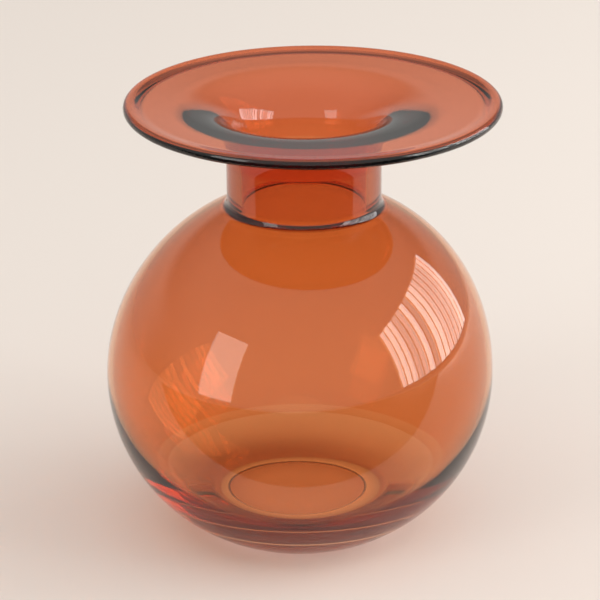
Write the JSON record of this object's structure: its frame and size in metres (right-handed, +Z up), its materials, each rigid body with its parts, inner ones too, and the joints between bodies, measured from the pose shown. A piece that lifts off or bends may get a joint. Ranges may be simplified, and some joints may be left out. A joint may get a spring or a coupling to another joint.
{
  "type": "bud vase",
  "caption": "Round glass bud vase with a heavy base, a short wide neck, a weld ring at the shoulder and a broad flared dish rim with a rounded lip.",
  "frame": {"origin": "centre of the foot, on the plane the vase stands on", "axes": "+Z up the axis of the body, neck and rim; the vase is round about it, so +X and +Y are free"},
  "size_m": [0.11, 0.11, 0.127],
  "materials": {
    "tinted_glass": "clear transparent amber-red glass, fire-polished and glossy, tinted through its thickness"
  },
  "bodies": {
    "root": {"base": "tinted_glass", "globe": "tinted_glass", "weld_ring": "tinted_glass", "neck": "tinted_glass", "rim_dish": "tinted_glass", "lip": "tinted_glass"}
  },
  "joints": []
}
